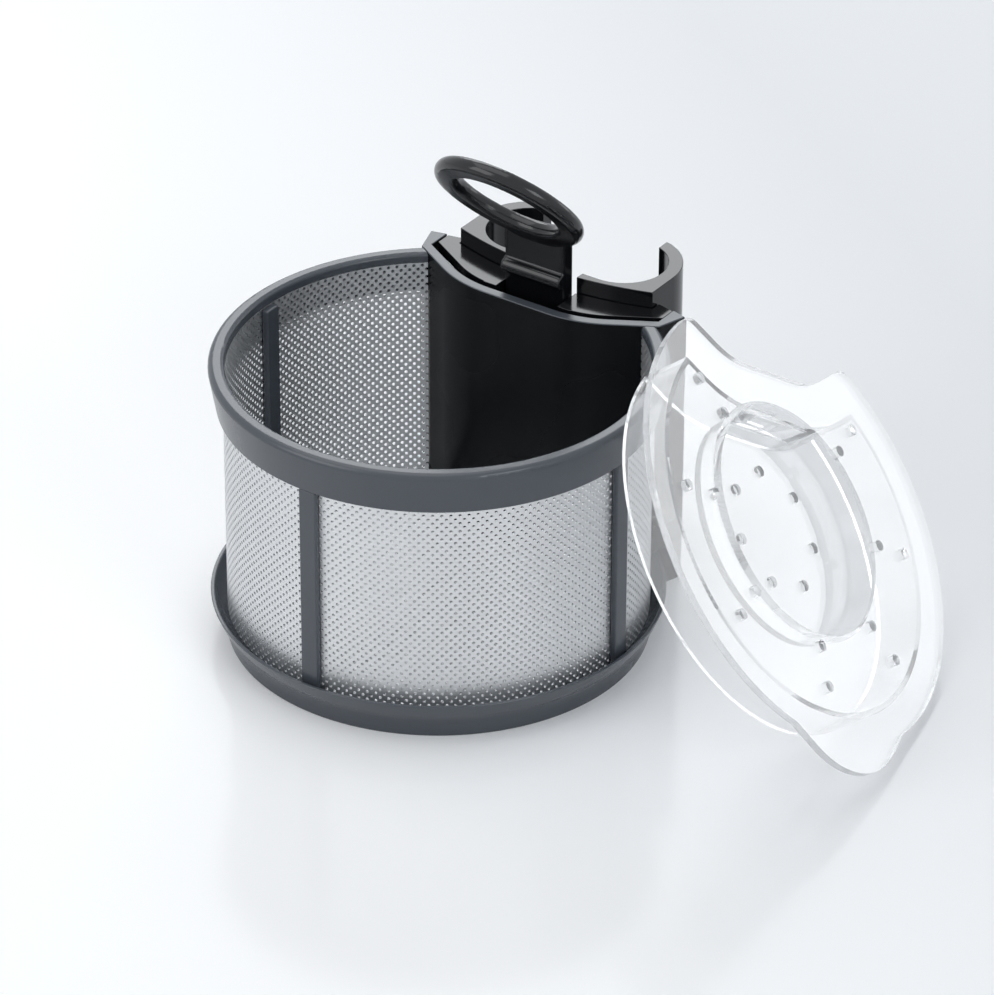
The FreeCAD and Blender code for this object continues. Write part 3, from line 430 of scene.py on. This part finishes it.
# A front panel is a quarter round. A rear panel is shorter, and is cut off on the slant
# where the rear wall's wing meets it.
FRONT_COLUMNS, REAR_COLUMNS = 38, 23
FRONT_TURN = 45
REAR_TURN = 90 + REAR_COLUMNS / FRONT_COLUMNS * FRONT_TURN
WING_X, WING_Y = 20.5, 30.65
WING_SLANT = math.radians(30)
WING_GAP = 0.2
rows = math.ceil((WALL_HIGH - WALL_LOW) / STEP_UP) + 1
for name, columns, turn in (("front_left_mesh", FRONT_COLUMNS, -FRONT_TURN),
                            ("front_right_mesh", FRONT_COLUMNS, FRONT_TURN),
                            ("rear_right_mesh", REAR_COLUMNS, REAR_TURN),
                            ("rear_left_mesh", REAR_COLUMNS, -REAR_TURN)):
    sheet = perforated_sheet(name, columns + 1, rows)
    half = STEP_ACROSS * columns / 2
    bpy.ops.object.mode_set(mode="EDIT")
    bpy.ops.mesh.select_all(action="SELECT")
    bpy.ops.transform.translate(value=(0, 0, WALL_LOW - STEP_UP / 4))
    bpy.ops.object.mode_set(mode="OBJECT")
    for at, outward in (((half, 0, 0), (1, 0, 0)), ((-half, 0, 0), (-1, 0, 0)),
                        ((0, 0, WALL_LOW), (0, 0, -1)), ((0, 0, WALL_HIGH), (0, 0, 1))):
        trim(at, outward)
    thicken(sheet)
    roll = sheet.modifiers.new("roll", "SIMPLE_DEFORM")
    roll.deform_method = "BEND"
    roll.deform_axis = "Z"
    roll.angle = half * 2 / WALL_RADIUS
    bpy.ops.object.modifier_apply(modifier="roll")
    round_the_axis = Matrix.Rotation(math.radians(turn), 4, "Z")
    sheet.data.transform(round_the_axis @ Matrix.Translation((0, -WALL_RADIUS, 0)))
    if columns == REAR_COLUMNS:
        side = 1 if turn > 0 else -1
        slope = Vector((-side * math.sin(WING_SLANT), math.cos(WING_SLANT), 0))
        trim((Vector((side * WING_X, WING_Y, 0)) - slope * WING_GAP) * MM, slope)
    bpy.ops.object.mode_set(mode="EDIT")
    bpy.ops.mesh.select_all(action="SELECT")
    bpy.ops.mesh.normals_make_consistent(inside=False)
    bpy.ops.object.mode_set(mode="OBJECT")
    bpy.ops.object.shade_smooth_by_angle(angle=math.radians(25))
    stand_for(sheet, "side_mesh", "basket", rolled_steel)

# Perforated bottom: the same sheet lying flat on its seat, cut round, with the rear wall's
# bulge taken out of its back. Its outline is the solid's own, drawn out upright so that it
# cuts the whole thickness of the sheet.
OUTLINE_STRETCH = 4
floor_low, floor_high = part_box("bottom_mesh")
seat = (floor_low[2] + floor_high[2]) / 2
columns = math.ceil((floor_high[0] - floor_low[0]) / STEP_ACROSS) + 2
rows = math.ceil((floor_high[1] - floor_low[1]) / STEP_UP) + 2
strainer = perforated_sheet("strainer_floor", columns, rows)
thicken(strainer)
lie_flat = Matrix.Rotation(math.radians(90), 4, "X")
to_seat = Matrix.Translation((0, floor_low[1] + (rows - 1) * STEP_UP, seat))
strainer.data.transform(to_seat @ lie_flat)
plan = merged_copy("bottom_mesh", "floor_plan")
bpy.ops.object.mode_set(mode="EDIT")
bpy.ops.mesh.select_all(action="SELECT")
bpy.ops.transform.resize(value=(1, 1, OUTLINE_STRETCH), center_override=(0, 0, seat))
bpy.ops.object.mode_set(mode="OBJECT")
plan.select_set(False)
strainer.select_set(True)
bpy.context.view_layer.objects.active = strainer
keep = strainer.modifiers.new("outline", "BOOLEAN")
keep.operation = "INTERSECT"
keep.solver = "EXACT"
keep.object = plan
bpy.ops.object.modifier_apply(modifier="outline")
bpy.data.objects.remove(plan)
bpy.ops.object.shade_smooth_by_angle(angle=math.radians(25))
stand_for(strainer, "bottom_mesh", "basket", rolled_steel)

# Magnets, hinge pin and spring: small steel parts inside the housing. The magnets are
# nickel plated, the pin is ground and the spring is drawn wire.
for node, name, colour, low, high in (("magnets", "nickel_plate", (0.62, 0.60, 0.57), 0.12, 0.26),
                                      ("handle_pin", "ground_steel", (0.66, 0.67, 0.69), 0.16, 0.30),
                                      ("handle_spring", "drawn_wire", (0.45, 0.46, 0.48), 0.22, 0.42)):
    metal = moulded(name, colour, tuple(value * 0.8 for value in colour), 3000.0, low, high, 0.1)
    metal.node_tree.nodes["Principled BSDF"].inputs["Metallic"].default_value = 1.0
    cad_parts[node].material_slots[0].material = metal

# Lid: one clear moulding, a flat face with a skirt under it and a sunk well in the middle,
# with round drain holes. It is taken off and leans on the rim. Its edges are softly rounded,
# and so are the two corners of its rear edge.
clear_plastic = bpy.data.materials.new("clear_plastic")
clear_plastic.use_nodes = True
nodes, links = clear_plastic.node_tree.nodes, clear_plastic.node_tree.links
surface = nodes["Principled BSDF"]
surface.inputs["Transmission Weight"].default_value = 0.86
surface.inputs["IOR"].default_value = 1.13
surface.inputs["Coat Weight"].default_value = 0.55
surface.inputs["Coat Roughness"].default_value = 0.03
place = nodes.new("ShaderNodeTexCoord")
flow = nodes.new("ShaderNodeTexNoise")
flow.inputs["Scale"].default_value = 28.0
flow.inputs["Detail"].default_value = 2.0
polish = nodes.new("ShaderNodeMapRange")
polish.inputs["To Min"].default_value = 0.01
polish.inputs["To Max"].default_value = 0.07
clear_tone = nodes.new("ShaderNodeValToRGB")
clear_tone.color_ramp.elements[0].color = (0.994, 0.997, 0.999, 1)
clear_tone.color_ramp.elements[1].color = (0.998, 0.999, 1.0, 1)
bump = nodes.new("ShaderNodeBump")
bump.inputs["Strength"].default_value = 0.10
bump.inputs["Distance"].default_value = 0.3 * MM
links.new(place.outputs["Object"], flow.inputs["Vector"])
links.new(flow.outputs["Fac"], polish.inputs["Value"])
links.new(polish.outputs["Result"], surface.inputs["Roughness"])
links.new(flow.outputs["Fac"], clear_tone.inputs["Fac"])
links.new(clear_tone.outputs["Color"], surface.inputs["Base Color"])
links.new(flow.outputs["Fac"], bump.inputs["Height"])
links.new(bump.outputs["Normal"], surface.inputs["Normal"])

LEAN = math.radians(54)
LEAN_TURN = math.radians(13.5)
LID_SHEET = 1.6 * MM
CORNER = 4.0 * MM
CORNER_BEND = math.radians(50)
FLANGE_REACH = 40 * MM
facing = Vector((math.cos(LEAN_TURN) * math.sin(LEAN), math.sin(LEAN_TURN) * math.sin(LEAN),
                 math.cos(LEAN)))
lid = merged_copy("lid", "clear_lid")
lid_low, lid_high = (Vector(corner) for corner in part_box("lid"))
lid_middle = (lid_low + lid_high) / 2
drawn = bmesh.new()
drawn.from_mesh(lid.data)
tips = []
for edge in drawn.edges:
    start, end = (vertex.co for vertex in edge.verts)
    through_sheet = abs((end - start).normalized().dot(facing)) > 0.999
    if through_sheet and len(edge.link_faces) == 2 and edge.calc_face_angle() > CORNER_BEND:
        whole_sheet = abs((end - start).length - LID_SHEET) < 0.05 * MM
        if whole_sheet and ((start + end) / 2 - lid_middle).length > FLANGE_REACH:
            tips.append(((start + end) / 2, [face.normal.copy() for face in edge.link_faces]))
drawn.free()
# A block with a round bite taken out of it is cut from each of the two rear corners.
for tip, (first, second) in tips:
    outward = (first + second).normalized()
    half_turn = first.angle(second) / 2
    to_tip = CORNER / math.cos(half_turn)
    to_chord = CORNER * math.cos(half_turn)
    bite_centre = tip - outward * to_tip
    bpy.ops.object.select_all(action="DESELECT")
    bpy.ops.mesh.primitive_cylinder_add(vertices=96, radius=CORNER, depth=LID_SHEET * 4,
                                        location=bite_centre,
                                        rotation=facing.to_track_quat("Z", "Y").to_euler())
    bite = bpy.context.object
    bpy.ops.mesh.primitive_cube_add(size=1)
    block = bpy.context.object
    reach = to_tip - to_chord + 1 * MM
    span = CORNER * math.sin(half_turn) * 2
    squared = Matrix((outward, facing.cross(outward), facing)).transposed().to_4x4()
    block.matrix_world = (Matrix.Translation(bite_centre + outward * (to_chord + reach / 2)) @ squared
                          @ Matrix.Diagonal((reach, span, LID_SHEET * 3, 1)))
    for target, tool in ((block, bite), (lid, block)):
        bpy.context.view_layer.objects.active = target
        cut = target.modifiers.new("cut", "BOOLEAN")
        cut.operation = "DIFFERENCE"
        cut.solver = "EXACT"
        cut.object = tool
        bpy.ops.object.modifier_apply(modifier="cut")
    bpy.data.objects.remove(bite)
    bpy.data.objects.remove(block)
bpy.ops.object.select_all(action="DESELECT")
lid.select_set(True)
bpy.context.view_layer.objects.active = lid
round_edges(lid, 0.35)
stand_for(lid, "lid", "cover", clear_plastic)
